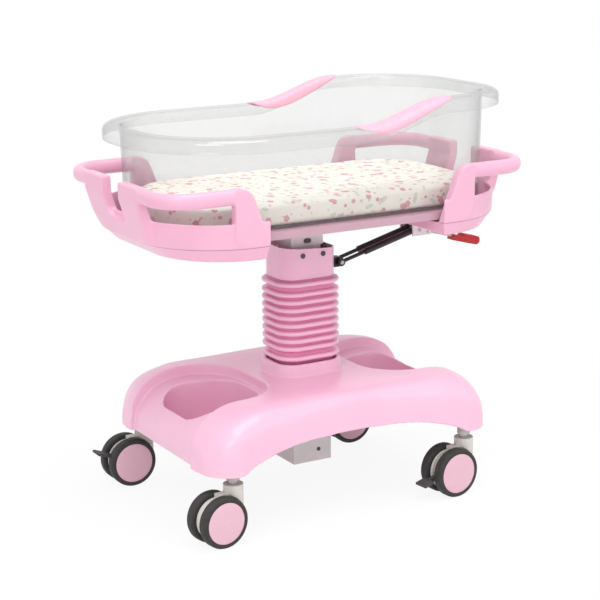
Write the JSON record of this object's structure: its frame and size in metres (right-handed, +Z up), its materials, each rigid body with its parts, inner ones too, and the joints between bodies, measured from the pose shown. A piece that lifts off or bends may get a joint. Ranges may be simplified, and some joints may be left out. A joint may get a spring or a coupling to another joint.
{
  "type": "hospital bassinet",
  "caption": "Hospital bassinet with a clear tilting basin on a telescopic column and a moulded base on casters.",
  "frame": {"origin": "floor under the middle of the column", "axes": "+X towards the end with the high rim and the release lever, +Y towards the far side, +Z up"},
  "size_m": [0.8263, 0.475, 0.8105],
  "materials": {
    "moulded_pink": "gloss",
    "bellows_pink": "satin",
    "grip_pink": "satin",
    "clear_shell": "clear",
    "painted_steel": "satin",
    "bracket_grey": "satin",
    "platform_paint": "satin",
    "zinc_steel": "satin",
    "dark_screw": "satin",
    "strut_black": "gloss",
    "lever_red": "gloss",
    "caster_grey": "satin",
    "tyre_grey": "matte",
    "disc_pink": "gloss",
    "pedal_dark": "satin",
    "glide_white": "matte",
    "mattress_cloth": "woven"
  },
  "bodies": {
    "base": {"base_cover": "moulded_pink", "base_rail_near": "painted_steel", "base_rail_far": "painted_steel", "base_cross_frame": "painted_steel", "lift_housing": "bracket_grey", "lift_housing_screws": "dark_screw", "caster_stems": "zinc_steel", "outer_tube": "painted_steel", "glide_bush": "glide_white", "lift_spring_cylinder": "strut_black", "bellows": "bellows_pink"},
    "column": {"inner_tube": "zinc_steel", "lift_spring_rod": "zinc_steel", "column_head": "bracket_grey", "tilt_pin": "zinc_steel", "column_cover": "moulded_pink", "column_cover_screws": "dark_screw", "strut_bracket": "bracket_grey", "strut_pin_low": "zinc_steel", "bracket_bolt": "dark_screw"},
    "bed": {"bed_bracket": "bracket_grey", "pin_keepers": "dark_screw", "bed_frame": "painted_steel", "bed_platform": "platform_paint", "strut_yoke": "bracket_grey", "strut_pin_up": "zinc_steel", "lever_pin": "zinc_steel", "tray_head": "moulded_pink", "tray_foot": "moulded_pink", "tray_screws": "zinc_steel"},
    "lever": {"release_lever": "zinc_steel", "lever_grip": "lever_red"},
    "strut_rod": {"strut_rods": "zinc_steel"},
    "strut_tube": {"strut_tubes": "strut_black"},
    "basin": {"basin": "clear_shell", "rim_grips": "grip_pink"},
    "mattress": {"mattress": "mattress_cloth"},
    "swivel_foot_near": {"caster_foot_near_fork": "caster_grey", "caster_foot_near_axle": "zinc_steel"},
    "wheels_foot_near": {"caster_foot_near_wheels": "tyre_grey", "caster_foot_near_wheel_covers": "disc_pink"},
    "swivel_head_near": {"caster_head_near_fork": "caster_grey", "caster_head_near_axle": "zinc_steel"},
    "wheels_head_near": {"caster_head_near_wheels": "tyre_grey", "caster_head_near_wheel_covers": "disc_pink"},
    "pedal_head_near": {"caster_head_near_brake_pedal": "pedal_dark"},
    "swivel_foot_far": {"caster_foot_far_fork": "caster_grey", "caster_foot_far_axle": "zinc_steel"},
    "wheels_foot_far": {"caster_foot_far_wheels": "tyre_grey", "caster_foot_far_wheel_covers": "disc_pink"},
    "pedal_foot_far": {"caster_foot_far_brake_pedal": "pedal_dark"},
    "swivel_head_far": {"caster_head_far_fork": "caster_grey", "caster_head_far_axle": "zinc_steel"},
    "wheels_head_far": {"caster_head_far_wheels": "tyre_grey", "caster_head_far_wheel_covers": "disc_pink"}
  },
  "joints": [
    {"name": "column_lift", "type": "slide", "parent": "base", "child": "column", "axis": [0, 0, 1], "range_m": [0, 0.12], "deforming": ["bellows"]},
    {"name": "bed_tilt", "type": "hinge", "parent": "column", "child": "bed", "pos_m": [0, 0, 0.518], "axis": [0, -1, 0], "range_deg": [-6, 12]},
    {"name": "strut_swing", "type": "hinge", "parent": "column", "child": "strut_rod", "pos_m": [0.076, -0.02, 0.466], "axis": [0, -1, 0], "range_deg": [-8.21, 15.92]},
    {"name": "strut_stroke", "type": "slide", "parent": "strut_rod", "child": "strut_tube", "axis": [0.9666, 0, 0.2563], "range_m": [-0.00809, 0.01568]},
    {"name": "lever_pull", "type": "hinge", "parent": "bed", "child": "lever", "pos_m": [0.277, -0.02, 0.508], "axis": [0, -1, 0], "range_deg": [0, 8]},
    {"name": "basin_lift_out", "type": "slide", "parent": "bed", "child": "basin", "axis": [0, 0, 1], "range_m": [0, 0.3]},
    {"name": "mattress_lift_out", "type": "slide", "parent": "basin", "child": "mattress", "axis": [0, 0, 1], "range_m": [0, 0.25]},
    {"name": "swivel_foot_near", "type": "hinge", "parent": "base", "child": "swivel_foot_near", "pos_m": [-0.2637, -0.199, 0.113], "axis": [0, 0, 1], "continuous": true},
    {"name": "roll_foot_near", "type": "hinge", "parent": "swivel_foot_near", "child": "wheels_foot_near", "pos_m": [-0.3008, -0.20369, 0.05], "axis": [-0.1253, 0.9921, 0], "continuous": true},
    {"name": "swivel_head_near", "type": "hinge", "parent": "base", "child": "swivel_head_near", "pos_m": [0.2637, -0.199, 0.113], "axis": [0, 0, 1], "continuous": true},
    {"name": "roll_head_near", "type": "hinge", "parent": "swivel_head_near", "child": "wheels_head_near", "pos_m": [0.22646, -0.20245, 0.05], "axis": [-0.0924, 0.9957, 0], "continuous": true},
    {"name": "brake_head_near", "type": "hinge", "parent": "swivel_head_near", "child": "pedal_head_near", "pos_m": [0.22646, -0.20245, 0.05], "axis": [-0.0924, 0.9957, 0], "range_deg": [0, 34]},
    {"name": "swivel_foot_far", "type": "hinge", "parent": "base", "child": "swivel_foot_far", "pos_m": [-0.2637, 0.199, 0.113], "axis": [0, 0, 1], "continuous": true},
    {"name": "roll_foot_far", "type": "hinge", "parent": "swivel_foot_far", "child": "wheels_foot_far", "pos_m": [-0.3011, 0.199, 0.05], "axis": [0, 1, 0], "continuous": true},
    {"name": "brake_foot_far", "type": "hinge", "parent": "swivel_foot_far", "child": "pedal_foot_far", "pos_m": [-0.3011, 0.199, 0.05], "axis": [0, 1, 0], "range_deg": [-34, 0]},
    {"name": "swivel_head_far", "type": "hinge", "parent": "base", "child": "swivel_head_far", "pos_m": [0.2637, 0.199, 0.113], "axis": [0, 0, 1], "continuous": true},
    {"name": "roll_head_far", "type": "hinge", "parent": "swivel_head_far", "child": "wheels_head_far", "pos_m": [0.2263, 0.199, 0.05], "axis": [0, 1, 0], "continuous": true}
  ],
  "couplings": [
    {"joint": "strut_swing", "follows": "bed_tilt", "ratio": 1.285},
    {"joint": "strut_stroke", "follows": "bed_tilt", "m_per_rad": 0.0725}
  ]
}
